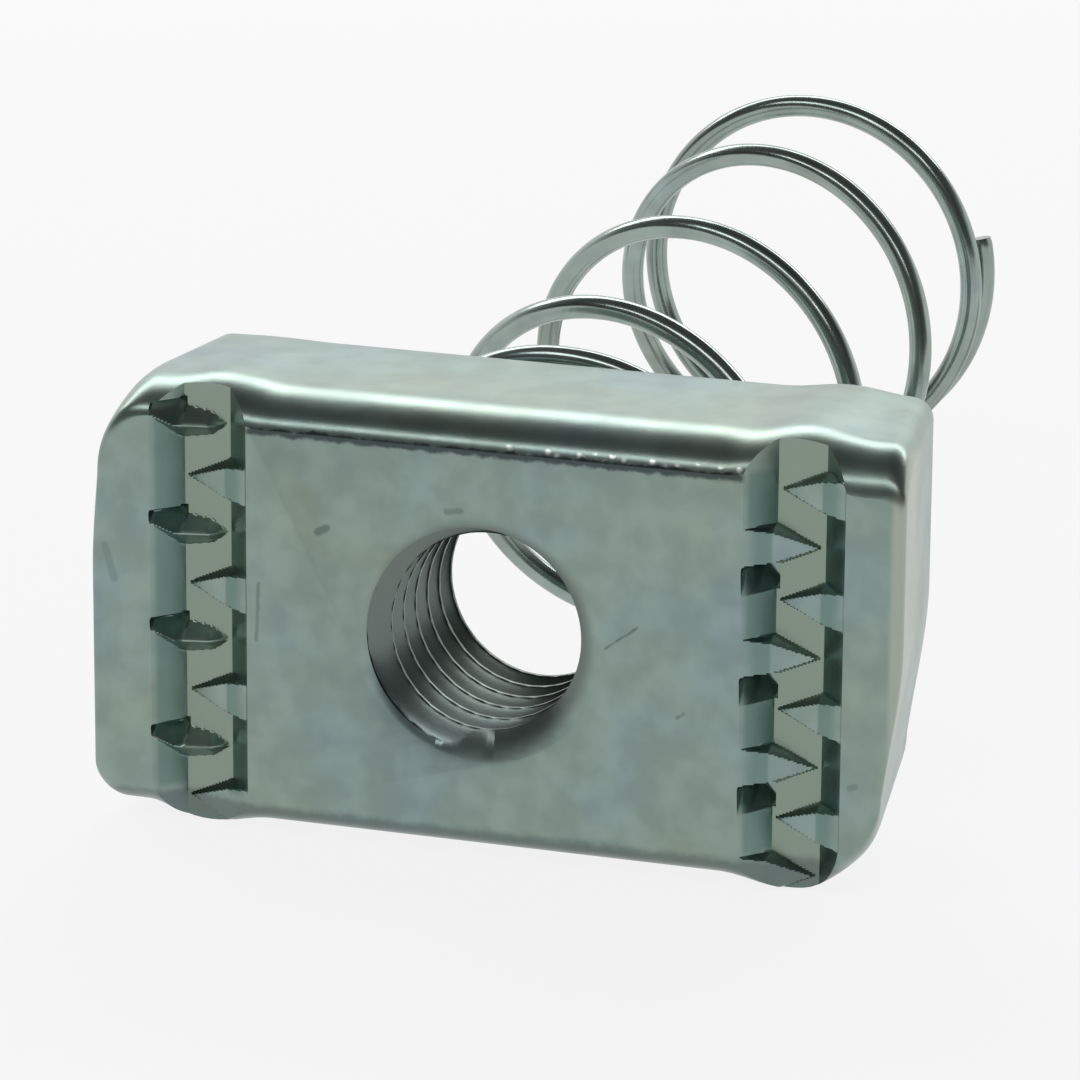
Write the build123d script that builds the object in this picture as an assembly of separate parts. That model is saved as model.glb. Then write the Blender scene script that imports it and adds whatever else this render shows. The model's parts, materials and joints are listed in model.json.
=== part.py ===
"""Strut spring nut: a toothed, tapped blank with a coil spring staked to its back.

Origin: centre of the tapped hole on the toothed face.
+X along the blank, +Y from the toothed face to the spring, +Z up the short side.
Millimetres throughout.
"""

import os
from math import cos, exp, pi, radians, sin, sqrt

from build123d import *

os.makedirs("parts", exist_ok=True)

# ---------------------------------------------------------------- driving dimensions
PLATE_X = 0.42          # centre of the blank from the hole
GROOVE_MID_X = 0.54     # point midway between the two grooves
GROOVE_MID_Z = -0.08
HALF_LENGTH = 17.48     # at the toothed face
HALF_WIDTH = 9.28
THICKNESS = 9.5
END_DRAFT = 0.145       # the ends close in by this much per millimetre of depth

ROLL_MID = (1.35, 2.8)  # rounding of the upper front edge between the grooves: rise, depth
ROLL_LOWER = (0.85, 1.8)
ROLL_END = (1.7, 3.2)   # the same outside the grooves
ROLL_UPPER_LEFT = (1.2, 2.7)
SHORT_BREAK = 0.35      # front edge of the two ends
REAR_BREAK = 0.3

# Corners seen from the toothed face: reach along X and along Z.
UPPER_LEFT = (2.2, 3.0)
LOWER_RIGHT = (3.1, 3.2)
SMALL_CORNER = (0.9, 0.9)
CORNER_TAPER = 0.45         # the upper left corner tightens by this share within this depth
TAPER_DEPTH = 4.5
CORNER_GROWTH = 0.3         # the lower right corner opens by this share towards the back
LEFT_LEAN = (0.36, 1.2)     # how far each end edge leans in towards its large corner, and the height where it starts
RIGHT_LEAN = (0.95, 1.5)
SWELL_X = 12.6              # metal pushed out at each groove end
SWELL_HALF = 2.9
SWELL_FRONT = 0.42
SWELL_REAR = 0.28
SWELL_REAR_UPPER_LEFT = 0.05

GROOVE_X = 12.755
GROOVE_TOP = 2.13
GROOVE_FLOOR = 1.015
GROOVE_DEPTH = 1.22

TOOTH_PITCH = 4.65
TOOTH_ROOT_HALF = 1.02
TOOTH_FOOT_HALF = 0.66
TOOTH_REACH = 0.8           # the tip passes the groove centre line by this much
TOOTH_FIRST = 7.77          # highest tooth on the outer wall of the left groove
RIGHT_SHIFT = -0.41         # the right groove's teeth sit this much lower

BORE_R = 4.1                # minor radius of a 10 mm thread
CHAMFER_R = 5.3
CHAMFER_DEPTH = 0.65

WIRE_R = 0.52
SEAT_R = 8.05
SEAT_DEPTH = 1.2
SEAT_GAP = 0.14
STAKES = (-1.64, -1.38, -1.12)  # turns along the wire

# Wire stations at every half turn from the top of the first free coil: depth behind the toothed face and radius.
COIL_Y = (11.60, 13.70, 18.23, 26.30, 31.56, 38.30, 45.03, 51.10, 54.00, 54.20, 55.42)
COIL_R = (9.02, 8.84, 8.68, 8.21, 8.39, 8.23, 8.16, 8.09, 8.18, 8.54, 8.90)
COIL_TILT = (-0.36, 0.72)
COIL_X = (0.167, -0.121, -0.038)    # drift of the coil axis: start, per turn, per turn squared
COIL_Z = (-0.055, 0.918, -0.069)
WIRE_END = 4.775


# ---------------------------------------------------------------- blank
def rolled(depth, rise, reach):
    """How far a rounded long edge stands back at a depth; the round meets the face at a crease."""
    start = 0.06
    u = min(1.0, start + (1.0 - start) * depth / reach)
    full = 1.0 - sqrt(1.0 - (1.0 - start) ** 2)
    return rise * (1.0 - sqrt(1.0 - (1.0 - u) ** 2)) / full


def round_in(depth, radius):
    """Set-back of a plain quarter round at a depth from its start."""
    if depth >= radius:
        return 0.0
    return radius - sqrt(radius ** 2 - (radius - depth) ** 2)


def smooth(value, low, high):
    t = min(1.0, max(0.0, (value - low) / (high - low)))
    return t * t * (3.0 - 2.0 * t)


def edge_half_width(x, depth, side, up):
    """Half-width of the blank at a distance x from its centre and a depth, towards one corner."""
    upper_left = side < 0 < up
    mid = rolled(depth, *(ROLL_MID if up > 0 else ROLL_LOWER))
    end = rolled(depth, *(ROLL_UPPER_LEFT if upper_left else ROLL_END))
    share = smooth(abs(x), 13.2, 15.6)
    width = HALF_WIDTH - (1.0 - share) * mid - share * end
    width -= round_in(THICKNESS - depth, REAR_BREAK)
    far = abs(abs(x) - SWELL_X) / SWELL_HALF
    if far < 1.0:
        rear = SWELL_REAR_UPPER_LEFT if upper_left else SWELL_REAR
        rise = SWELL_FRONT + (rear - SWELL_FRONT) * depth / THICKNESS
        width += rise * 0.5 * (1.0 + cos(pi * far))
    return width


def end_half_length(side, z, depth):
    """Half-length on one side (-1 left, 1 right) at a height; each end leans in towards its large corner."""
    length = HALF_LENGTH - END_DRAFT * depth
    length -= round_in(depth, SHORT_BREAK)
    length -= round_in(THICKNESS - depth, REAR_BREAK)
    if side < 0:
        return length - LEFT_LEAN[0] * smooth(z, LEFT_LEAN[1], 7.6)
    return length - RIGHT_LEAN[0] * smooth(-z, -RIGHT_LEAN[1], 7.6)


def quarter(depth, side, up, reach):
    """One quarter of the outline, from the end edge at z = 0 to the long edge at x = 0, in three runs."""
    change = 1.0
    if side < 0 < up:
        change -= CORNER_TAPER * smooth(depth, 0.0, TAPER_DEPTH)
    elif up < 0 < side:
        change += CORNER_GROWTH * depth / THICKNESS
    reach_x, reach_z = reach[0] * change, reach[1] * change
    top = edge_half_width(end_half_length(side, 0.0, depth), depth, side, up)
    z_start = top - reach_z
    x_start = end_half_length(side, up * z_start, depth)
    first = []
    for k in range(7):
        z = z_start * k / 6
        first.append((end_half_length(side, up * z, depth), z))
    bend = [first[-1]]
    for k in range(1, 9):
        a = radians(90.0 * k / 8)
        z = z_start + reach_z * sin(a)
        x = x_start - reach_x * (1.0 - cos(a))
        z += edge_half_width(x, depth, side, up) - top
        bend.append((x, z))
    last = [bend[-1]]
    for k in range(1, 15):
        x = bend[-1][0] * (1.0 - k / 14)
        last.append((x, edge_half_width(x, depth, side, up)))
    return first, bend, last


CORNERS = ((-1, 1, UPPER_LEFT), (1, 1, SMALL_CORNER), (1, -1, LOWER_RIGHT), (-1, -1, SMALL_CORNER))


def outline(depth):
    """Closed outline of the blank at a depth, always the same twelve edges."""
    runs = []
    for side, up, reach in CORNERS:
        pieces = quarter(depth, side, up, reach)
        if side == up:
            pieces = [list(reversed(p)) for p in reversed(pieces)]
        for run in pieces:
            runs.append([(PLATE_X + side * x, depth, up * z) for x, z in run])
    return runs


def outline_wire(depth):
    edges = []
    for run in outline(depth):
        edges.append(Edge.make_spline([Vector(*p) for p in run]))
    return Wire(edges)


STATIONS = (0.0, 0.1, 0.35, 0.7, 1.15, 1.65, 2.2, 2.8, 3.4, 9.2, 9.3, 9.5)
blank = Solid.make_loft([outline_wire(y) for y in STATIONS], ruled=True)


# ---------------------------------------------------------------- grooves and teeth
def groove_cutter(centre):
    rise = (GROOVE_TOP - GROOVE_FLOOR) / GROOVE_DEPTH
    over = 1.0
    pts = [
        (centre - GROOVE_TOP - rise * over, -over),
        (centre - GROOVE_FLOOR, GROOVE_DEPTH),
        (centre + GROOVE_FLOOR, GROOVE_DEPTH),
        (centre + GROOVE_TOP + rise * over, -over),
    ]
    wire = Wire.make_polygon([Vector(x, y, -14.0) for x, y in pts], close=True)
    return Solid.extrude(Face(wire), Vector(0, 0, 28.0))


def tooth(centre, wall, z):
    """Pointed wedge: full height at its own wall, falling to a tip on the floor near the other wall."""
    def at(reach, depth, side):
        return Vector(centre + wall * reach, depth, z + side)

    back = GROOVE_TOP + 0.35
    root = GROOVE_TOP - 0.02
    under = GROOVE_DEPTH + 0.5
    ridge_back = at(back, 0.03, 0)
    ridge = at(root, 0.03, 0)
    knee = at(-TOOTH_REACH + 0.62, 0.58, 0)
    tip = at(-TOOTH_REACH, GROOVE_DEPTH + 0.01, 0)
    tip_low = at(-TOOTH_REACH + 0.2, under, 0)
    ends = {}
    for side in (-1, 1):
        ends[side] = (
            at(back, 0.03, side * TOOTH_ROOT_HALF),
            at(root, 0.03, side * TOOTH_ROOT_HALF),
            at(GROOVE_FLOOR, GROOVE_DEPTH + 0.04, side * TOOTH_FOOT_HALF),
            at(GROOVE_FLOOR, under, side * TOOTH_FOOT_HALF),
            at(back, under, side * TOOTH_FOOT_HALF),
        )
    polygons = []
    for side in (-1, 1):
        shoulder_back, shoulder, foot, foot_low, heel = ends[side]
        polygons.append([ridge_back, ridge, shoulder, shoulder_back])
        polygons.append([ridge, shoulder, foot])
        polygons.append([ridge, foot, knee])
        polygons.append([knee, foot, tip])
        polygons.append([tip, foot, tip_low])
        polygons.append([foot, foot_low, tip_low])
        polygons.append([shoulder_back, shoulder, foot])
        polygons.append([shoulder_back, foot, heel])
        polygons.append([foot, foot_low, heel])
    polygons.append([tip_low, ends[-1][3], ends[1][3]])
    polygons.append([ends[-1][3], ends[-1][4], ends[1][4], ends[1][3]])
    polygons.append([ends[-1][0], ridge_back, ends[1][0], ends[1][4], ends[-1][4]])
    faces = [Face(Wire.make_polygon(p, close=True)) for p in polygons]
    return Solid(Shell(faces))


body = blank
teeth = []
for hand in (-1, 1):
    centre_x = GROOVE_MID_X + hand * GROOVE_X
    body = body - groove_cutter(centre_x)
    shift = GROOVE_MID_Z + (RIGHT_SHIFT if hand > 0 else 0.0)
    for k in range(4):
        teeth.append(tooth(centre_x, hand, TOOTH_FIRST + shift - k * TOOTH_PITCH))
        teeth.append(tooth(centre_x, -hand, TOOTH_FIRST + shift - (k + 0.5) * TOOTH_PITCH))
for one in teeth:
    body = body + (one & blank)


# ---------------------------------------------------------------- bore
def frustum(r_start, r_end, y_start, y_end):
    cone = Solid.make_cone(r_start, r_end, y_end - y_start)
    return cone.rotate(Axis.X, -90).translate(Vector(0, y_start, 0))


def rod(radius, y_start, y_end):
    pin = Solid.make_cylinder(radius, y_end - y_start)
    return pin.rotate(Axis.X, -90).translate(Vector(0, y_start, 0))


body = body - rod(BORE_R, -2.0, THICKNESS + 2.0)
over = 0.3
wide = CHAMFER_R + (CHAMFER_R - BORE_R) * over / CHAMFER_DEPTH
body = body - frustum(wide, BORE_R, -over, CHAMFER_DEPTH)
body = body - frustum(BORE_R, wide, THICKNESS - CHAMFER_DEPTH, THICKNESS + over)


# ---------------------------------------------------------------- spring
def station(values, turn):
    """Smooth value between half-turn stations, straight beyond the ends."""
    last = len(values) - 1
    place = 2.0 * turn
    i = min(last - 1, max(0, int(place)))
    t = place - i
    p1, p2 = values[i], values[i + 1]
    p0 = values[i - 1] if i > 0 else 2 * p1 - p2
    p3 = values[i + 2] if i + 2 <= last else 2 * p2 - p1
    curve = (2 * p0 - 5 * p1 + 4 * p2 - p3) * t * t + (3 * p1 - p0 - 3 * p2 + p3) * t ** 3
    return 0.5 * (2 * p1 + (p2 - p0) * t + curve)


SEAT_Y = THICKNESS - SEAT_DEPTH + WIRE_R + 0.05
LIFT_TURN = -1.0            # where the wire leaves its seat
LIFT = 1.56                 # first rise, over the start of the wire


def wire_point(turn):
    """Centre of the wire; turn 0 is the top of the first free coil and the coil is left-handed."""
    a = 2 * pi * turn
    ahead = max(0.0, turn)
    radius = station(COIL_R, ahead)
    depth = station(COIL_Y, ahead) + COIL_TILT[0] * cos(a) + COIL_TILT[1] * sin(a)
    xc = COIL_X[0] + COIL_X[1] * ahead + COIL_X[2] * ahead ** 2
    zc = COIL_Z[0] + COIL_Z[1] * ahead + COIL_Z[2] * ahead ** 2
    if turn < 0.0:
        share = smooth(turn, -1.0, 0.0)
        start = COIL_Y[0] + COIL_TILT[0]
        climb = smooth(turn, LIFT_TURN, LIFT_TURN + 0.3)
        t = max(0.0, 1.0 - turn / LIFT_TURN)
        depth = SEAT_Y + LIFT * climb + (start - SEAT_Y - LIFT) * t ** 6
        radius = SEAT_R + (radius - SEAT_R) * share
        xc *= share
        zc *= share
    return Vector(xc - radius * sin(a), depth, zc + radius * cos(a))


WIRE_START = -1.72
STEPS_PER_TURN = 24
WIRE_SIDES = 16             # the wire is a fine prism of the round wire's own area, mitred at each step
steps = round(STEPS_PER_TURN * (WIRE_END - WIRE_START))
points = [wire_point(WIRE_START + (WIRE_END - WIRE_START) * k / steps) for k in range(steps + 1)]
prism_r = WIRE_R * sqrt(pi / (0.5 * WIRE_SIDES * sin(2 * pi / WIRE_SIDES)))
start_plane = Plane(origin=points[0], z_dir=(points[1] - points[0]).normalized())
corners = []
for k in range(WIRE_SIDES):
    a = 2 * pi * k / WIRE_SIDES
    corners.append(start_plane.from_local_coords(Vector(prism_r * cos(a), prism_r * sin(a), 0)))
section = Face(Wire.make_polygon(corners, close=True))
path = Wire.make_polygon(points, close=False)
spring = Solid.sweep(section, path=path, transition=Transition.RIGHT)

# ---------------------------------------------------------------- spring seat
seat_ring = rod(SEAT_R + WIRE_R + SEAT_GAP, THICKNESS - SEAT_DEPTH, THICKNESS + 1.0)
seat_ring = seat_ring - rod(SEAT_R - WIRE_R - SEAT_GAP, THICKNESS - SEAT_DEPTH - 1.0, THICKNESS + 2.0)
body = body - seat_ring
hold = SEAT_Y + WIRE_R + 0.06
for turn in STAKES:
    spot = wire_point(turn)
    out = Vector(spot.X, 0, spot.Z).normalized()
    plane = Plane(origin=(0, 0, 0), x_dir=out, z_dir=(0, 1, 0))
    lip = plane.location * Pos(SEAT_R + 0.55, 0, hold + 0.18) * Solid.make_box(1.9, 1.6, 0.36).translate(
        Vector(-0.95, -0.8, -0.18)
    )
    body = body + lip

nut_body = body.solids().sort_by(SortBy.VOLUME)[-1] if hasattr(body, "solids") else body
export_step(nut_body, "parts/nut_body.step")
export_step(spring, "parts/spring.step")
print("nut_body", nut_body.volume, nut_body.bounding_box())
print("spring", spring.volume, spring.bounding_box())
print("solids", len(body.solids()))
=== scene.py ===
import json
from math import pi

import bpy
import numpy as np
from mathutils import Matrix, Vector

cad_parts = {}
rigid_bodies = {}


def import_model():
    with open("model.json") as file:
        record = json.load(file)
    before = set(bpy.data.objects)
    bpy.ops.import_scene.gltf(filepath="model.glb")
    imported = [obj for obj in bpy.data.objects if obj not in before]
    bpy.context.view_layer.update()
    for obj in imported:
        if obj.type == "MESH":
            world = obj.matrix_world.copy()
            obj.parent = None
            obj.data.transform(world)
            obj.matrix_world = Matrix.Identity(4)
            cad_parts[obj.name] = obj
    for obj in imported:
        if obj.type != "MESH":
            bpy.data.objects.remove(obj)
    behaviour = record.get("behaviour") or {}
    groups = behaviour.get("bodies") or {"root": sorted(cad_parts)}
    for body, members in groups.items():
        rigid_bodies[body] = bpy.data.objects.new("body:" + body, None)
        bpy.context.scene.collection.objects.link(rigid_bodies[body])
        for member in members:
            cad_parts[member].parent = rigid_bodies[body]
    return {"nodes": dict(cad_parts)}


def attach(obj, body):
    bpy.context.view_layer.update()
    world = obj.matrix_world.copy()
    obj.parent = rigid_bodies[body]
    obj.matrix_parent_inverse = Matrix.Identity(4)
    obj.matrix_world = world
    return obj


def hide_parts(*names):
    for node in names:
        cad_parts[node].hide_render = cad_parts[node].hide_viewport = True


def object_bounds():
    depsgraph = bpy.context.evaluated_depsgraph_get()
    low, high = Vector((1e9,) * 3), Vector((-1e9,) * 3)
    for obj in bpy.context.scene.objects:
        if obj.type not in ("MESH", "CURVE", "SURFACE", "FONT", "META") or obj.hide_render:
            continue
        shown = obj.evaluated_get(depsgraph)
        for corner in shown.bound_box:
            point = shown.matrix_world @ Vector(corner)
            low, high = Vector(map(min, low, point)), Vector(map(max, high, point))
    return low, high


for old in list(bpy.data.objects):
    bpy.data.objects.remove(old)
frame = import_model()
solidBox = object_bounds()
mm = 0.001
print("frame loaded:", ", ".join(frame["nodes"]))


# shapes are worked out in millimetres and put in the mesh in metres
def smoothStep(value, low, high):
    # 0 below low, 1 above high, an S curve between
    t = np.clip((value - low) / (high - low), 0.0, 1.0)
    return t * t * (3.0 - 2.0 * t)


def quarterRound(depth, radius):
    # set-back of a plain round at a depth below the edge
    d = np.clip(radius - depth, 0.0, radius)
    return radius - np.sqrt(radius**2 - d**2)


def rolledBack(depth, rise, reach, start=0.01):
    # set-back of a pressed edge: a quarter ellipse that meets the face at a small crease
    u = np.clip(start + (1.0 - start) * depth / reach, 0.0, 1.0)
    return rise * (1.0 - np.sqrt(1.0 - (1.0 - u) ** 2)) / (1.0 - np.sqrt(1.0 - (1.0 - start) ** 2))


def makeMesh(name, points, faces, smooth=True):
    mesh = bpy.data.meshes.new(name)
    mesh.from_pydata(points, [], faces)
    mesh.validate()
    mesh.polygons.foreach_set("use_smooth", [smooth] * len(mesh.polygons))
    piece = bpy.data.objects.new(name, mesh)
    bpy.context.scene.collection.objects.link(piece)
    return piece


def gridFaces(rows, columns):
    # quads between neighbouring rows of a grid whose columns close on themselves
    i, j = np.meshgrid(np.arange(rows - 1), np.arange(columns), indexing="ij")
    k = (j + 1) % columns
    row, after = i * columns, (i + 1) * columns
    return np.stack([row + j, row + k, after + k, after + j], axis=-1).reshape(-1, 4)


def roundGrid(radius, depth, angle):
    # places on rings about the hole's axis, which runs along y
    depth = np.broadcast_to(depth, radius.shape)
    return np.stack([radius * np.sin(angle), depth, radius * np.cos(angle)], axis=-1)


def closedTube(name, grid):
    # a grid of rings becomes a closed solid with flat ends
    rows, columns = grid.shape[:2]
    faces = gridFaces(rows, columns).tolist()
    faces.append(list(range(columns))[::-1])
    faces.append(list(range((rows - 1) * columns, rows * columns)))
    piece = makeMesh(name, (grid.reshape(-1, 3) * mm).tolist(), faces)
    if signedVolume(piece.data) < 0:
        piece.data.flip_normals()
    return piece


def signedVolume(mesh):
    mesh.calc_loop_triangles()
    tri = np.empty(len(mesh.loop_triangles) * 3, dtype=np.int32)
    mesh.loop_triangles.foreach_get("vertices", tri)
    co = np.empty(len(mesh.vertices) * 3)
    mesh.vertices.foreach_get("co", co)
    p = co.reshape(-1, 3)[tri].reshape(-1, 3, 3)
    return float(np.einsum("ij,ij->i", p[:, 0], np.cross(p[:, 1], p[:, 2])).sum() / 6.0)


def combine(target, tool, operation):
    mod = target.modifiers.new("cut", "BOOLEAN")
    mod.operation, mod.object, mod.solver = operation, tool, "MANIFOLD"
    graph = bpy.context.evaluated_depsgraph_get()
    done = bpy.data.meshes.new_from_object(target.evaluated_get(graph))
    target.modifiers.clear()
    old = target.data
    target.data = done
    bpy.data.meshes.remove(old)
    bpy.data.objects.remove(tool)


blankShape = {
    "centreX": 0.42,
    "halfLength": 17.48,
    "halfWidth": 9.28,
    "thickness": 9.5,
    "endDraft": 0.145,
    "rollMiddle": (1.35, 2.8),
    "rollLower": (0.85, 1.8),
    "rollEnd": (1.72, 2.5),
    "rollUpperLeft": (1.2, 2.7),
    "rollsEnd": 3.4,
    "shortBreak": 0.35,
    "rearBreak": 0.3,
    "upperLeft": (2.2, 3.0),
    "lowerRight": (3.1, 3.2),
    "smallCorner": (0.9, 0.9),
    "cornerTaper": 0.45,
    "taperDepth": 4.5,
    "cornerGrowth": 0.3,
    "leftLean": (0.36, 1.2),
    "rightLean": (0.95, 1.5),
    "swellX": 12.6,
    "swellHalf": 2.9,
    "swellFront": 0.42,
    "swellRear": 0.28,
    "swellRearUpperLeft": 0.05,
}


def halfWidthAt(x, depth, side, up):
    # long edge: width less its pressed round, plus the metal pushed out at the groove ends
    s = blankShape
    share = smoothStep(np.abs(x), 13.2, 15.6)
    middle = s["rollMiddle"] if up > 0 else s["rollLower"]
    end = s["rollUpperLeft"] if side < 0 < up else s["rollEnd"]
    width = s["halfWidth"] - (1 - share) * rolledBack(depth, *middle) - share * rolledBack(depth, *end)
    width = width - quarterRound(s["thickness"] - depth, s["rearBreak"])
    far = np.clip(np.abs(np.abs(x) - s["swellX"]) / s["swellHalf"], 0, 1)
    rear = s["swellRearUpperLeft"] if side < 0 < up else s["swellRear"]
    rise = s["swellFront"] + (rear - s["swellFront"]) * depth / s["thickness"]
    return width + rise * 0.5 * (1 + np.cos(pi * far))


def halfLengthAt(side, z, depth):
    # short edge: draft, its two breaks, and the lean towards the large corner
    s = blankShape
    length = s["halfLength"] - s["endDraft"] * depth - quarterRound(depth, s["shortBreak"])
    length = length - quarterRound(s["thickness"] - depth, s["rearBreak"])
    if side < 0:
        return length - s["leftLean"][0] * smoothStep(z, s["leftLean"][1], 7.6)
    return length - s["rightLean"][0] * smoothStep(-z, -s["rightLean"][1], 7.6)


def blankQuarter(depth, side, up, reach):
    # outline from the short edge at z = 0 round the corner to the long edge at x = 0, one row per depth
    s = blankShape
    d = depth[:, None]
    change = 1.0 + 0 * d
    if side < 0 < up:
        change = change - s["cornerTaper"] * smoothStep(d, 0.0, s["taperDepth"])
    elif up < 0 < side:
        change = change + s["cornerGrowth"] * d / s["thickness"]
    reachX, reachZ = reach[0] * change, reach[1] * change
    top = halfWidthAt(halfLengthAt(side, 0.0, d), d, side, up)
    zStart = top - reachZ
    xStart = halfLengthAt(side, up * zStart, d)
    z1 = zStart * np.linspace(0, 1, 22)[None, :]
    x1 = halfLengthAt(side, up * z1, d)
    a = np.linspace(0, pi / 2, 17)[None, 1:]
    z2 = zStart + reachZ * np.sin(a)
    x2 = xStart - reachX * (1 - np.cos(a))
    z2 = z2 + halfWidthAt(x2, d, side, up) - top
    x3 = x2[:, -1:] * (1 - np.linspace(0, 1, 49)[None, 1:])
    z3 = halfWidthAt(x3, d, side, up)
    return np.hstack([x1, x2, x3]), np.hstack([z1, z2, z3])


def blankGrid():
    s = blankShape
    t, front, rear = s["thickness"], s["shortBreak"], s["rearBreak"]
    depth = np.concatenate([
        front * (1 - np.cos(np.linspace(0, pi / 2, 9))),
        np.linspace(front, s["rollsEnd"], 24)[1:],
        np.linspace(s["rollsEnd"], t - rear, 16)[1:],
        t - rear + rear * np.sin(np.linspace(0, pi / 2, 6))[1:],
    ])
    parts = []
    corners = (
        (-1, 1, s["upperLeft"]),
        (1, 1, s["smallCorner"]),
        (1, -1, s["lowerRight"]),
        (-1, -1, s["smallCorner"]),
    )
    for side, up, reach in corners:
        x, z = blankQuarter(depth, side, up, reach)
        if side == up:
            x, z = x[:, ::-1], z[:, ::-1]
        x, z = s["centreX"] + side * x[:, :-1], up * z[:, :-1]
        parts.append(np.stack([x, np.broadcast_to(depth[:, None], x.shape), z], axis=-1))
    return np.concatenate(parts, axis=1)


grooveShape = {
    "midX": 0.54,
    "midZ": -0.08,
    "centre": 12.755,
    "topHalf": 2.13,
    "floorHalf": 1.015,
    "depth": 1.22,
    "cutHalf": 10.6,
    "cutAbove": 1.5,
    "deepest": 1.6,
}
toothShape = {
    "pitch": 4.65,
    "reach": 0.8,
    "first": 7.77,
    "rightShift": -0.41,
    "topWidth": 0.8,
    "footWidth": 0.64,
    "facetSlope": 1.35,
    "flankSlope": 3.2,
    "scoopSlope": 0.8,
    "scoopReach": 1.25,
    # depth of the tooth tops over distance from the groove's centre line, towards the tooth's own wall
    "ridgeLine": ((-1.6, -0.8, -0.18, 1.015, 2.13, 2.6), (3.0, 1.16, 0.60, 0.34, 0.02, -0.2)),
    "crownLine": ((-1.6, -0.8, 1.015, 2.13, 2.6), (3.0, 1.10, 0.48, 0.03, -0.2)),
    "ridgeLean": 0.45,
    "ridgeSoftness": 0.05,
}


def troughDepth(x, z, hand):
    # depth over width and length of one groove, from a flat-floored trough: each tooth stands up from
    # one wall as the lesser of trough and wedge, its scoop goes in as the greater of trough and ramp
    g, t = grooveShape, toothShape
    wallDepth = (g["topHalf"] - np.abs(x)) * g["depth"] / (g["topHalf"] - g["floorHalf"]) - 0.0004
    depth = np.minimum(wallDepth, g["depth"])
    shift = g["midZ"] + (t["rightShift"] if hand > 0 else 0)
    for wall in (-1, 1):
        s = wall * x
        outer = wall == hand
        along = t["first"] + shift - (np.arange(4) + (0 if outer else 0.5)) * t["pitch"]
        half = np.interp(s, [-t["reach"], g["floorHalf"], g["topHalf"]], [0, t["footWidth"], t["topWidth"]])
        ridged = outer and wall < 0
        for place in along:
            u = z - place
            if ridged:
                u = u - np.interp(s, [1.2, g["topHalf"]], [0, t["ridgeLean"]])
                ridge = np.interp(s, *t["ridgeLine"])
                soft = t["ridgeSoftness"]
                wedge = ridge + t["facetSlope"] * (np.sqrt(u**2 + soft**2) - soft)
            else:
                crown = np.interp(s, *t["crownLine"])
                wedge = crown + t["flankSlope"] * np.clip(np.abs(u) - half, 0, None)
            depth = np.minimum(depth, wedge)
            inWall = (s > 0.93) & (s < 2.16)
            if ridged:
                room = np.interp(s, [0.9, 1.015, 2.13], [1.0, 1.05, 0.5])
                ramp = np.minimum(ridge + t["facetSlope"] * u, wallDepth + 5.0 * (room - u))
                depth = np.where(inWall & (u > 0), np.maximum(depth, ramp), depth)
            elif wall < 0:
                below = -u - half
                fade = 1 - 0.6 * smoothStep(s, 1.6, 2.13)
                ramp = wallDepth + np.minimum(t["scoopSlope"] * (t["scoopReach"] - below), 6.0 * below) * fade
                near = (below > 0) & (below < t["scoopReach"])
                depth = np.where(inWall & near, np.maximum(depth, ramp), depth)
    return np.minimum(depth, g["deepest"])


def grooveCutter(centre, hand):
    # the trough as the underside of a block that stands out of the face
    g = grooveShape
    wall = np.linspace(g["floorHalf"], g["topHalf"], 17)
    half = np.concatenate([np.linspace(0, g["floorHalf"], 15)[1:], wall[1:], [2.2, 2.5, 2.8]])
    across = np.concatenate([-half[::-1], [0], half])
    along = np.linspace(-g["cutHalf"], g["cutHalf"], 330)
    z, x = np.meshgrid(along, across, indexing="ij")
    bottom = np.stack([centre + x, troughDepth(x, z, hand), z], axis=-1)
    top = bottom[:, [-1, 0]].copy()
    top[..., 1] = -g["cutAbove"]
    return closedTube("grooveTool", np.concatenate([bottom, top], axis=1))


boreShape = {
    "minor": 4.1,
    "major": 4.98,
    "pitch": 1.5,
    "rim": 5.3,
    "rimDepth": 0.65,
    "crest": 0.13,
    "root": 0.12,
    "soft": 0.35,
}
roundSteps = 144


def threadRod():
    # radius over angle and depth: a V thread climbing one pitch a turn, right-handed
    b = boreShape
    angle = np.linspace(0, 2 * pi, 96, endpoint=False)[None, :]
    depth = np.linspace(-0.6, 10.1, 215)[:, None]
    phase = (depth / b["pitch"] - angle / (2 * pi)) % 1.0
    wave = 1 - np.abs(2 * phase - 1)
    straight = np.clip((wave - b["crest"]) / (1 - b["crest"] - b["root"]), 0, 1)
    curved = smoothStep(wave, b["crest"] * 0.5, 1 - b["root"] * 0.5)
    flank = curved * b["soft"] + (1 - b["soft"]) * straight
    radius = b["minor"] + (b["major"] - b["minor"]) * flank
    return closedTube("threadTool", roundGrid(radius, depth, angle))


def coneRod(y0, r0, y1, r1):
    # a plain cone between two depths
    angle = np.linspace(0, 2 * pi, roundSteps, endpoint=False)
    y, r = np.array([y0, y1])[:, None], np.array([r0, r1])[:, None] + 0 * angle
    return closedTube("coneTool", roundGrid(r, y, angle))


springShape = {
    "wireR": 0.52,
    "seatR": 8.05,
    "seatY": 8.87,
    "liftTurn": -1.0,
    "lift": 1.56,
    "startTurn": -1.72,
    "endTurn": 4.787,
    "coilY": (11.60, 13.70, 18.23, 26.30, 31.56, 38.30, 45.03, 51.10, 54.00, 54.20, 55.42),
    "coilR": (9.02, 8.84, 8.68, 8.21, 8.39, 8.23, 8.16, 8.09, 8.18, 8.54, 8.90),
    "tilt": (-0.36, 0.72),
    "driftX": (0.167, -0.121, -0.038),
    "driftZ": (-0.055, 0.918, -0.069),
}


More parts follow.
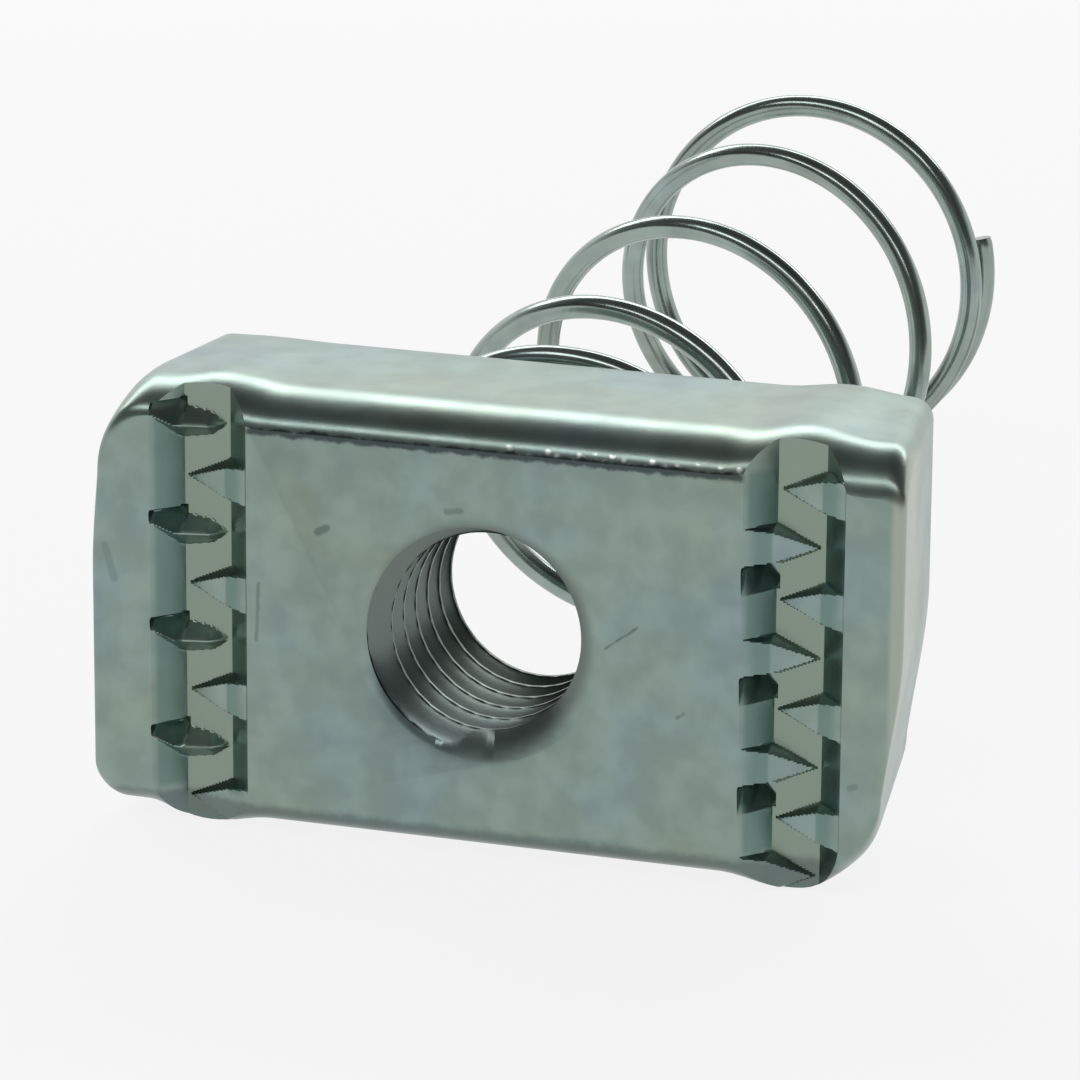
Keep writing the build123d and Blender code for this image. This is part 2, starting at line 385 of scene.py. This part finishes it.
def station(values, turn):
    # smooth value between half-turn stations
    v = np.array(values)
    v = np.concatenate([[2 * v[0] - v[1]], v, [2 * v[-1] - v[-2]]])
    place = np.clip(2 * turn, 0, None)
    i = np.clip(place.astype(int), 0, len(values) - 2)
    t = place - i
    p0, p1, p2, p3 = v[i], v[i + 1], v[i + 2], v[i + 3]
    curve = (2 * p0 - 5 * p1 + 4 * p2 - p3) * t**2 + (3 * p1 - p0 - 3 * p2 + p3) * t**3
    return 0.5 * (2 * p1 + (p2 - p0) * t + curve)


def wireLine(turn):
    # centre of the wire: a left-hand coil whose radius, axis and pitch drift from turn to turn
    s = springShape
    a = 2 * pi * turn
    ahead = np.clip(turn, 0, None)
    radius = station(s["coilR"], ahead)
    depth = station(s["coilY"], ahead) + s["tilt"][0] * np.cos(a) + s["tilt"][1] * np.sin(a)
    xc = s["driftX"][0] + s["driftX"][1] * ahead + s["driftX"][2] * ahead**2
    zc = s["driftZ"][0] + s["driftZ"][1] * ahead + s["driftZ"][2] * ahead**2
    seated = turn < 0
    share = np.where(seated, smoothStep(turn, -1.0, 0.0), 1.0)
    start = s["coilY"][0] + s["tilt"][0]
    climb = smoothStep(turn, s["liftTurn"], s["liftTurn"] + 0.3)
    t = np.clip(1 - turn / s["liftTurn"], 0, 1)
    low = s["seatY"] + s["lift"] * climb + (start - s["seatY"] - s["lift"]) * t**6
    depth = np.where(seated, low, depth)
    radius = s["seatR"] + (radius - s["seatR"]) * share
    return np.stack([xc * share - radius * np.sin(a), depth, zc * share + radius * np.cos(a)], axis=-1)


def springPiece():
    # a round section carried square to the wire line, with its own map: metres along, share around
    s = springShape
    rows, around = 1300, 24
    turn = np.linspace(s["startTurn"], s["endTurn"], rows)
    line = wireLine(turn)
    tangent = np.gradient(line, axis=0)
    tangent /= np.linalg.norm(tangent, axis=1)[:, None]
    a = 2 * pi * turn
    out = np.stack([-np.sin(a), 0 * a, np.cos(a)], axis=-1)
    out -= tangent * np.einsum("ij,ij->i", out, tangent)[:, None]
    out /= np.linalg.norm(out, axis=1)[:, None]
    side = np.cross(tangent, out)
    length = np.concatenate([[0], np.cumsum(np.linalg.norm(np.diff(line, axis=0), axis=1))])
    ends = np.minimum(length, length[-1] - length)
    r = s["wireR"] * (1 - 0.10 * (1 - smoothStep(ends, 0, 0.12)))
    w = np.linspace(0, 2 * pi, around, endpoint=False)
    ring = out[:, None, :] * np.cos(w)[None, :, None] + side[:, None, :] * np.sin(w)[None, :, None]
    grid = line[:, None, :] + ring * r[:, None, None]
    piece = closedTube("springWire", grid)
    uv = piece.data.uv_layers.new(name="alongWire")
    loops = np.empty(len(piece.data.loops), dtype=np.int32)
    piece.data.loops.foreach_get("vertex_index", loops)
    u = length[loops // around] * mm
    v = (loops % around) / around
    # the side faces come first, four corners each; those that close the ring run on past 1
    corner = v[: (rows - 1) * around * 4].reshape(-1, 4)
    wrap = (corner.max(axis=1) - corner.min(axis=1)) > 0.5
    corner[wrap] = np.where(corner[wrap] < 0.5, corner[wrap] + 1, corner[wrap])
    uv.data.foreach_set("uv", np.column_stack([u, v]).ravel())
    return piece


seatShape = {
    "radius": 8.05,
    "half": 0.66,
    "depth": 1.2,
    "lipTurns": (-1.64, -1.38, -1.12),
    "lipOut": 8.6,
    "lipSize": (0.95, 0.2, 0.8),
    "lipY": 9.61,
}


def seatCutter():
    # a square section carried round the hole's axis
    s = seatShape
    t = blankShape["thickness"]
    angle = np.linspace(0, 2 * pi, roundSteps, endpoint=False)[:, None]
    r = s["radius"] + s["half"] * np.array([-1, 1, 1, -1])[None, :] + 0 * angle
    y = np.array([t - s["depth"], t - s["depth"], t + 1, t + 1])[None, :]
    grid = roundGrid(r, y, angle)
    i, j = np.meshgrid(np.arange(roundSteps), np.arange(4), indexing="ij")
    a, b = (i + 1) % roundSteps, (j + 1) % 4
    faces = np.stack([i * 4 + j, a * 4 + j, a * 4 + b, i * 4 + b], axis=-1).reshape(-1, 4)
    piece = makeMesh("seatTool", (grid.reshape(-1, 3) * mm).tolist(), faces.tolist(), smooth=False)
    if signedVolume(piece.data) < 0:
        piece.data.flip_normals()
    return piece


def squared(v):
    # draws a sine or cosine out towards 1, so a ball of them becomes a rounded box
    return np.sign(v) * np.abs(v) ** 0.5


def seatLip(turn):
    # a swaged lump: a rounded box over longitude and latitude
    s = seatShape
    a = 2 * pi * turn
    out = np.array([-np.sin(a), 0, np.cos(a)])
    side = np.array([np.cos(a), 0, np.sin(a)])
    lat = np.linspace(-pi / 2 + 0.12, pi / 2 - 0.12, 15)[:, None]
    lon = np.linspace(0, 2 * pi, 32, endpoint=False)[None, :]
    u = s["lipSize"][0] * squared(np.cos(lat)) * squared(np.cos(lon))
    w = s["lipSize"][2] * squared(np.cos(lat)) * squared(np.sin(lon))
    h = s["lipSize"][1] * squared(np.sin(lat)) + 0 * lon
    grid = u[..., None] * out + w[..., None] * side + h[..., None] * np.array([0, 1, 0])
    centre = out * s["lipOut"] + np.array([0, s["lipY"], 0])
    return closedTube("lipTool", grid + centre)


def bodyPiece():
    g, b, t = grooveShape, boreShape, blankShape["thickness"]
    body = closedTube("zincBlank", blankGrid())
    for hand in (-1, 1):
        combine(body, grooveCutter(g["midX"] + hand * g["centre"], hand), "DIFFERENCE")
    print("blank pressed and grooved:", len(body.data.polygons), "faces")
    combine(body, threadRod(), "DIFFERENCE")
    wide = b["rim"] + (b["rim"] - b["minor"]) * 0.3 / b["rimDepth"]
    narrow = b["minor"] - (b["rim"] - b["minor"]) * 0.1 / b["rimDepth"]
    combine(body, coneRod(-0.3, wide, b["rimDepth"] + 0.1, narrow), "DIFFERENCE")
    combine(body, coneRod(t - b["rimDepth"] - 0.1, narrow, t + 0.3, wide), "DIFFERENCE")
    combine(body, seatCutter(), "DIFFERENCE")
    for turn in seatShape["lipTurns"]:
        combine(body, seatLip(turn), "UNION")
    print("hole tapped and spring seat cut:", len(body.data.polygons), "faces")
    return body


body = bodyPiece()
spring = springPiece()
print("spring wound:", len(spring.data.polygons), "faces")


class Nodes:
    # a small wrapper that adds nodes to one tree and links them
    def __init__(self, tree):
        self.tree = tree

    def add(self, kind, **values):
        node = self.tree.nodes.new(kind)
        for key, value in values.items():
            setattr(node, key, value)
        return node

    def put(self, socket, value):
        if isinstance(value, bpy.types.NodeSocket):
            self.tree.links.new(value, socket)
        else:
            socket.default_value = value

    def math(self, operation, a, b=0.0, c=0.0, clamp=False):
        node = self.add("ShaderNodeMath", operation=operation, use_clamp=clamp)
        for socket, value in zip(node.inputs, (a, b, c)):
            self.put(socket, value)
        return node.outputs[0]

    def band(self, value, low, high, fromValue=0.0, toValue=1.0):
        node = self.add("ShaderNodeMapRange", interpolation_type="SMOOTHSTEP")
        for socket, v in zip(node.inputs, (value, low, high, fromValue, toValue)):
            self.put(socket, v)
        return node.outputs[0]

    def vector(self, operation, a, b=None):
        node = self.add("ShaderNodeVectorMath", operation=operation)
        self.put(node.inputs[0], a)
        if b is not None:
            self.put(node.inputs["Scale" if operation == "SCALE" else 1], b)
        return node.outputs["Value" if operation in ("DOT_PRODUCT", "LENGTH") else "Vector"]

    def every(self, *masks):
        # the product of several masks
        total = masks[0]
        for mask in masks[1:]:
            total = self.math("MULTIPLY", total, mask)
        return total

    def mix(self, factor, a, b, blend="MIX"):
        node = self.add("ShaderNodeMix", data_type="RGBA", blend_type=blend)
        self.put(node.inputs[0], factor)
        self.put(node.inputs[6], a)
        self.put(node.inputs[7], b)
        return node.outputs[2]

    def noise(self, vector, scale, detail=2.0, rough=0.5, color=False):
        node = self.add("ShaderNodeTexNoise")
        self.put(node.inputs["Vector"], vector)
        node.inputs["Scale"].default_value = scale
        node.inputs["Detail"].default_value = detail
        node.inputs["Roughness"].default_value = rough
        return node.outputs["Color" if color else "Fac"]


def rgb(r, g, b):
    # a colour as seen, 0 to 255, turned to the linear value the shader wants
    c = np.array([r, g, b]) / 255.0
    c = np.where(c <= 0.04045, c / 12.92, ((c + 0.055) / 1.055) ** 2.4)
    return (*[float(v) for v in c], 1.0)


def newGroup(name, inputs, outputs):
    tree = bpy.data.node_groups.new(name, "ShaderNodeTree")
    for label, kind, value in inputs:
        socket = tree.interface.new_socket(label, in_out="INPUT", socket_type=kind)
        if value is not None:
            socket.default_value = value
    for label, kind in outputs:
        tree.interface.new_socket(label, in_out="OUTPUT", socket_type=kind)
    n = Nodes(tree)
    return tree, n, n.add("NodeGroupInput"), n.add("NodeGroupOutput")


def platingFilm():
    # passivated zinc: a base colour that wanders to a cool and a warm tint in soft patches
    tree, n, src, out = newGroup(
        "platingFilm",
        [("Vector", "NodeSocketVector", None), ("Base", "NodeSocketColor", None),
         ("Cool", "NodeSocketColor", None), ("Warm", "NodeSocketColor", None),
         ("Amount", "NodeSocketFloat", 0.5)],
        [("Color", "NodeSocketColor")],
    )
    soft = n.noise(src.outputs["Vector"], 140.0, 3.0, 0.55)
    fine = n.noise(src.outputs["Vector"], 620.0, 2.0, 0.5)
    cool = n.math("MULTIPLY", n.band(soft, 0.50, 0.68), src.outputs["Amount"])
    warm = n.math("MULTIPLY", n.band(soft, 0.50, 0.34), src.outputs["Amount"])
    color = n.mix(cool, src.outputs["Base"], src.outputs["Cool"])
    color = n.mix(warm, color, src.outputs["Warm"])
    shade = n.band(fine, 0.3, 0.7, 0.90, 1.08)
    grey = n.add("ShaderNodeCombineColor")
    for socket in grey.inputs:
        n.put(socket, shade)
    color = n.mix(1.0, color, grey.outputs[0], "MULTIPLY")
    n.put(out.inputs["Color"], color)
    return tree


def fineGrain():
    # blasted and plated skin: roughness and a shallow bump from two sizes of noise
    tree, n, src, out = newGroup(
        "fineGrain",
        [("Vector", "NodeSocketVector", None), ("Rough", "NodeSocketFloat", 0.35),
         ("Spread", "NodeSocketFloat", 0.1), ("Height", "NodeSocketFloat", 0.02)],
        [("Roughness", "NodeSocketFloat"), ("Normal", "NodeSocketVector")],
    )
    small = n.noise(src.outputs["Vector"], 2600.0, 3.0, 0.6)
    wide = n.noise(src.outputs["Vector"], 420.0, 2.0, 0.5)
    spread = n.math("MULTIPLY", n.math("SUBTRACT", wide, 0.5), src.outputs["Spread"])
    n.put(out.inputs["Roughness"], n.math("ADD", src.outputs["Rough"], spread, clamp=True))
    height = n.math("ADD", small, n.math("MULTIPLY", wide, 2.0))
    bump = n.add("ShaderNodeBump")
    n.put(bump.inputs["Height"], height)
    bump.inputs["Distance"].default_value = 0.00002
    n.put(bump.inputs["Strength"], src.outputs["Height"])
    n.put(out.inputs["Normal"], bump.outputs["Normal"])
    return tree


def strokeMark():
    # 1 on a short straight stroke between two points, 0 past its width; a zero length gives a round dot
    tree, n, src, out = newGroup(
        "strokeMark",
        [("Vector", "NodeSocketVector", None), ("From", "NodeSocketVector", None),
         ("To", "NodeSocketVector", None), ("Width", "NodeSocketFloat", 0.1)],
        [("Mask", "NodeSocketFloat")],
    )
    offset = n.vector("SUBTRACT", src.outputs["Vector"], src.outputs["From"])
    span = n.vector("SUBTRACT", src.outputs["To"], src.outputs["From"])
    square = n.math("ADD", n.vector("DOT_PRODUCT", span, span), 0.0001)
    share = n.math("DIVIDE", n.vector("DOT_PRODUCT", offset, span), square, clamp=True)
    near = n.vector("SCALE", span, share)
    away = n.vector("LENGTH", n.vector("SUBTRACT", offset, near))
    n.put(out.inputs["Mask"], n.band(n.math("DIVIDE", away, src.outputs["Width"]), 1.0, 0.45))
    return tree


filmGroup = platingFilm()
grainGroup = fineGrain()
strokeGroup = strokeMark()


def newMaterial(name):
    material = bpy.data.materials.new(name)
    material.use_nodes = True
    material.node_tree.nodes.clear()
    n = Nodes(material.node_tree)
    shader = n.add("ShaderNodeBsdfPrincipled")
    out = n.add("ShaderNodeOutputMaterial")
    n.put(out.inputs["Surface"], shader.outputs[0])
    return material, n, shader


def newFinish(name):
    # bare plated metal, with places read from the piece's own axes
    material, n, shader = newMaterial(name)
    shader.inputs["Metallic"].default_value = 1.0
    return material, n, shader, n.add("ShaderNodeTexCoord").outputs["Object"]


def filmColor(n, place, finish):
    film = n.add("ShaderNodeGroup", node_tree=filmGroup)
    n.put(film.inputs["Vector"], place)
    for label, key in (("Base", "base"), ("Cool", "cool"), ("Warm", "warm"), ("Amount", "film")):
        film.inputs[label].default_value = finish[key]
    return film.outputs["Color"]


def grainOf(n, place, finish):
    grain = n.add("ShaderNodeGroup", node_tree=grainGroup)
    n.put(grain.inputs["Vector"], place)
    for label, key in (("Rough", "rough"), ("Spread", "spread"), ("Height", "grain")):
        grain.inputs[label].default_value = finish[key]
    return grain.outputs["Roughness"], grain.outputs["Normal"]


blankFinish = {
    "base": rgb(139, 157, 150),
    "cool": rgb(134, 154, 156),
    "warm": rgb(143, 157, 143),
    "floor": rgb(137, 152, 139),
    # painted shade on the groove walls
    "wall": rgb(104, 131, 124),
    # painted light on the right end face
    "end": rgb(163, 171, 161),
    # painted shade along the crease of the upper round
    "crease": rgb(58, 66, 68),
    # painted highlight for glints on the burrs
    "glintHighlight": rgb(250, 246, 248),
    # painted shade inside the threaded hole
    "thread": rgb(104, 112, 108),
    # painted dark reflection on the lower long round
    "under": rgb(92, 103, 101),
    "mark": rgb(92, 106, 103),
    "film": 0.7,
    "rough": 0.30,
    "spread": 0.10,
    "grain": 0.25,
}
# strokes on the toothed face, in millimetres: from, to, width, strength
faceMarks = (
    ((5.5, 0, 0.2), (6.9, 0, 1.25), 0.09, 0.8),
    ((-6.9, 0, 3.9), (-6.5, 0, 4.1), 0.22, 0.7),
    ((-1.3, 0, 5.3), (-0.7, 0, 5.4), 0.20, 0.5),
    ((8.6, 0, -2.4), (8.9, 0, -2.2), 0.12, 0.5),
    ((-9.6, 0, -1.0), (-9.5, 0, 1.4), 0.14, 0.5),
    ((-16.3, 0, 2.4), (-15.9, 0, 1.0), 0.25, 0.3),
    ((15.9, 0, -4.6), (16.1, 0, -4.5), 0.2, 0.4),
)


def zincBlankMaterial():
    f, g, b = blankFinish, grooveShape, blankShape
    material, n, shader, place = newFinish("zincPlatedBlank")
    local = n.vector("SCALE", place, 1000.0)
    axes = n.add("ShaderNodeSeparateXYZ")
    n.put(axes.inputs[0], local)
    x, y, z = axes.outputs
    wander = n.noise(local, 1.3, 3.0, 0.6)
    ragged = n.math("MULTIPLY", n.math("SUBTRACT", wander, 0.5), 0.5)
    fromMiddle = n.math("ABSOLUTE", n.math("SUBTRACT", x, g["midX"]))
    fromGroove = n.math("ABSOLUTE", n.math("SUBTRACT", fromMiddle, g["centre"]))
    fromEdge = n.math("ABSOLUTE", z)
    fromHole = n.math("SQRT", n.math("ADD", n.math("MULTIPLY", x, x), n.math("MULTIPLY", z, z)))

    color = filmColor(n, place, f)

    floor = n.every(n.band(y, 1.0, 1.15), n.band(fromGroove, 1.1, 1.0),
                    n.band(fromEdge, 9.6, 9.2), n.band(y, 1.7, 1.6))
    color = n.mix(floor, color, f["floor"])
    # painted shade: the groove walls are drawn darker, standing in for the shade and dark reflections inside
    # the grooves
    wall = n.every(n.band(y, 0.05, 0.3), n.band(y, 1.5, 1.2), n.band(fromGroove, 2.2, 2.0),
                   n.band(fromGroove, 0.95, 1.1), n.band(fromEdge, 8.3, 7.9))
    color = n.mix(n.math("MULTIPLY", wall, 0.75), color, f["wall"])
    # painted light: the right end face is drawn lighter, as if more brightly lit
    color = n.mix(n.band(x, 17.2, 17.5), color, f["end"])
    # painted shade: the inside of the threaded hole is drawn darker
    holeShadeMask = n.every(n.band(fromHole, 5.35, 5.15), n.band(y, 0.1, 0.5))
    color = n.mix(n.math("MULTIPLY", holeShadeMask, 0.8), color, f["thread"])
    # painted reflection: the lower long round is drawn darker, standing in for a dark reflection near the
    # ground
    low = b["halfWidth"] - b["rollLower"][0]
    under = n.every(n.band(n.math("ADD", z, ragged), -low + 0.35, -low - 0.1), n.band(y, 3.2, 2.0))
    color = n.mix(n.math("MULTIPLY", under, 0.7), color, f["under"])

    # along the crease below the long upper round: a ragged line of painted shade, with bright dots of painted
    # highlight above it standing for glints on the burrs
    high = b["halfWidth"] - b["rollMiddle"][0]
    above = n.math("ADD", n.math("SUBTRACT", z, high), ragged)
    between = n.band(fromMiddle, 10.75, 10.5)
    line = n.every(n.band(above, -0.30, -0.12), n.band(above, 0.16, 0.04), between, n.band(y, 1.2, 0.6))
    color = n.mix(n.math("MULTIPLY", line, 0.85), color, f["crease"])
    # painted highlight: near-white dots standing for glints on the burrs above the crease
    speck = n.add("ShaderNodeTexVoronoi")
    n.put(speck.inputs["Vector"], local)
    speck.inputs["Scale"].default_value = 2.2
    dots = n.band(speck.outputs["Distance"], 0.42, 0.12)
    burrGlintMask = n.every(dots, n.band(above, 0.10, 0.16), n.band(above, 0.40, 0.30), between,
                   n.band(x, -2.0, 5.0), n.band(y, 1.2, 0.6))
    color = n.mix(burrGlintMask, color, f["glintHighlight"])

    marks = None
    shaken = n.vector("ADD", local, n.vector("SCALE", n.noise(local, 2.0, color=True), 0.12))
    for start, end, width, strength in faceMarks:
        stroke = n.add("ShaderNodeGroup", node_tree=strokeGroup)
        n.put(stroke.inputs["Vector"], shaken)
        stroke.inputs["From"].default_value = start
        stroke.inputs["To"].default_value = end
        stroke.inputs["Width"].default_value = width
        mask = n.math("MULTIPLY", stroke.outputs["Mask"], strength)
        marks = mask if marks is None else n.math("MAXIMUM", marks, mask)
    color = n.mix(marks, color, f["mark"])

    roughness, normal = grainOf(n, place, f)
    n.put(shader.inputs["Base Color"], color)
    n.put(shader.inputs["Roughness"], roughness)
    n.put(shader.inputs["Normal"], normal)
    return material


wireFinish = {
    "base": rgb(150, 163, 157),
    "cool": rgb(158, 174, 172),
    "warm": rgb(140, 152, 142),
    # painted reflection: dark streaks along the wire
    "reflectionStreak": rgb(70, 80, 78),
    "film": 0.6,
    "rough": 0.20,
    "spread": 0.10,
    "grain": 0.15,
}


def zincWireMaterial():
    f = wireFinish
    material, n, shader, place = newFinish("zincPlatedWire")
    # die lines: noise drawn out along the wire's own map, used as a shallow bump and to paint dark streaks
    # along the wire as painted reflection
    wire = n.add("ShaderNodeUVMap", uv_map="alongWire")
    drawn = n.add("ShaderNodeMapping")
    n.put(drawn.inputs["Vector"], wire.outputs[0])
    drawn.inputs["Scale"].default_value = (90.0, 7.0, 1.0)
    lines = n.noise(drawn.outputs[0], 1.0, 3.0, 0.6)
    reflectionStreak = n.band(lines, 0.53, 0.66)
    color = n.mix(n.math("MULTIPLY", reflectionStreak, 0.55), filmColor(n, place, f), f["reflectionStreak"])
    roughness, normal = grainOf(n, place, f)
    bump = n.add("ShaderNodeBump")
    n.put(bump.inputs["Height"], lines)
    bump.inputs["Distance"].default_value = 0.00004
    bump.inputs["Strength"].default_value = 0.5
    n.put(bump.inputs["Normal"], normal)
    n.put(shader.inputs["Base Color"], color)
    n.put(shader.inputs["Roughness"], roughness)
    n.put(shader.inputs["Normal"], bump.outputs["Normal"])
    return material


largeFace = 2e-6  # square metres


def finishPiece(piece, material, node, sharpAngle):
    # one finish, smooth rounds, and flat shading on the large plane faces
    mesh = piece.data
    mesh.materials.clear()
    mesh.materials.append(material)
    count = len(mesh.polygons)
    mesh.polygons.foreach_set("material_index", np.zeros(count, dtype=np.int32))
    area = np.empty(count)
    mesh.polygons.foreach_get("area", area)
    mesh.polygons.foreach_set("use_smooth", area < largeFace)
    mesh.set_sharp_from_angle(angle=sharpAngle)
    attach(piece, "root")
    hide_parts(node)


finishPiece(body, zincBlankMaterial(), "nut_body", 0.5)
finishPiece(spring, zincWireMaterial(), "spring", 0.9)
print("finishes set")


stageSetup = {
    "floorSize": 1.6,
    "floorColor": (0.86, 0.86, 0.86, 1.0),
    "shadowShare": 0.15,
}
lightSetup = (
    # name, place, width, height (metres), radiance; each faces the nut
    ("backStrip", (-0.19, 0.473, 0.369), 1.2, 0.17, 4.5),
    ("frontStrip", (-0.10, -0.33, 0.42), 0.7, 0.09, 3.5),
)


def buildFloor():
    half = stageSetup["floorSize"] / 2
    low = solidBox[0][2]
    corners = [(-half, -half, low), (half, -half, low), (half, half, low), (-half, half, low)]
    floor = makeMesh("paleFloor", corners, [(0, 1, 2, 3)], smooth=False)
    material, n, shader = newMaterial("paleFloorPaint")
    shader.inputs["Base Color"].default_value = stageSetup["floorColor"]
    shader.inputs["Roughness"].default_value = 0.9
    white = n.add("ShaderNodeEmission")
    white.inputs["Strength"].default_value = 1.0
    path = n.add("ShaderNodeLightPath").outputs
    seen = n.math("ADD", path["Is Camera Ray"], path["Is Glossy Ray"], clamp=True)
    seen = n.math("ADD", seen, path["Is Transmission Ray"], clamp=True)
    share = n.math("MULTIPLY", seen, 1.0 - stageSetup["shadowShare"])
    blend = n.add("ShaderNodeMixShader")
    n.put(blend.inputs[0], share)
    n.put(blend.inputs[1], shader.outputs[0])
    n.put(blend.inputs[2], white.outputs[0])
    out = [node for node in n.tree.nodes if node.type == "OUTPUT_MATERIAL"][0]
    n.put(out.inputs["Surface"], blend.outputs[0])
    floor.data.materials.append(material)


worldSetup = {
    # sine of the height above the horizon, brightness
    "behind": ((0.0, 1.0), (0.30, 1.0), (0.42, 0.35), (0.58, 0.12), (1.0, 0.09)),
    "front": ((0.0, 1.0), (0.07, 1.0), (0.13, 0.12), (0.5, 0.10), (1.0, 0.09)),
}


def buildWorld():
    # a pale horizon all round, a pale wall behind, a dark ceiling and a dark room on the camera's side
    world = bpy.data.worlds.new("softRoom")
    bpy.context.scene.world = world
    world.use_nodes = True
    world.node_tree.nodes.clear()
    n = Nodes(world.node_tree)
    way = n.add("ShaderNodeSeparateXYZ")
    n.put(way.inputs[0], n.add("ShaderNodeTexCoord").outputs["Generated"])
    x, y, z = way.outputs
    flat = n.math("SQRT", n.math("ADD", n.math("MULTIPLY", x, x), n.math("MULTIPLY", y, y)))
    behind = n.band(n.math("DIVIDE", y, n.math("MAXIMUM", flat, 0.01)), -0.35, 0.35)
    ramps = []
    for side in ("front", "behind"):
        stops = worldSetup[side]
        ramp = n.add("ShaderNodeValToRGB")
        n.put(ramp.inputs[0], z)
        while len(ramp.color_ramp.elements) < len(stops):
            ramp.color_ramp.elements.new(0.5)
        for element, (place, value) in zip(ramp.color_ramp.elements, stops):
            element.position = place
            element.color = (value, value, value, 1)
        ramps.append(ramp.outputs[0])
    room = n.add("ShaderNodeBackground")
    n.put(room.inputs["Color"], n.mix(behind, *ramps))
    n.put(n.add("ShaderNodeOutputWorld").inputs["Surface"], room.outputs[0])


def addLights():
    for name, place, width, height, radiance in lightSetup:
        light = bpy.data.lights.new(name, "AREA")
        light.shape, light.size, light.size_y = "RECTANGLE", width, height
        light.energy = radiance * pi * width * height
        holder = bpy.data.objects.new(name, light)
        bpy.context.scene.collection.objects.link(holder)
        toNut = -Vector(place)
        turn = toNut.to_track_quat("-Z", "Y").to_matrix().to_4x4()
        holder.matrix_world = Matrix.Translation(place) @ turn


cameraSetup = {
    "place": (76.35, -225.37, 76.11),
    "right": (0.94976, 0.31291, 0.00718),
    "ahead": (-0.29757, 0.90983, -0.28923),
    "lens": 204.0,
}


def addCamera():
    c = cameraSetup
    ahead = Vector(c["ahead"]).normalized()
    right = Vector(c["right"])
    right = (right - ahead * right.dot(ahead)).normalized()
    up = right.cross(ahead)
    camera = bpy.data.cameras.new("productCamera")
    camera.sensor_width, camera.lens = 36.0, c["lens"]
    camera.clip_start, camera.clip_end = 0.01, 20.0
    holder = bpy.data.objects.new("productCamera", camera)
    turn = Matrix((right, up, -ahead)).transposed().to_4x4()
    holder.matrix_world = Matrix.Translation(Vector(c["place"]) * mm) @ turn
    bpy.context.scene.collection.objects.link(holder)
    bpy.context.scene.camera = holder


buildFloor()
buildWorld()
addLights()
addCamera()
bpy.context.scene.view_settings.view_transform = "Standard"
print("stage, lights and camera placed")
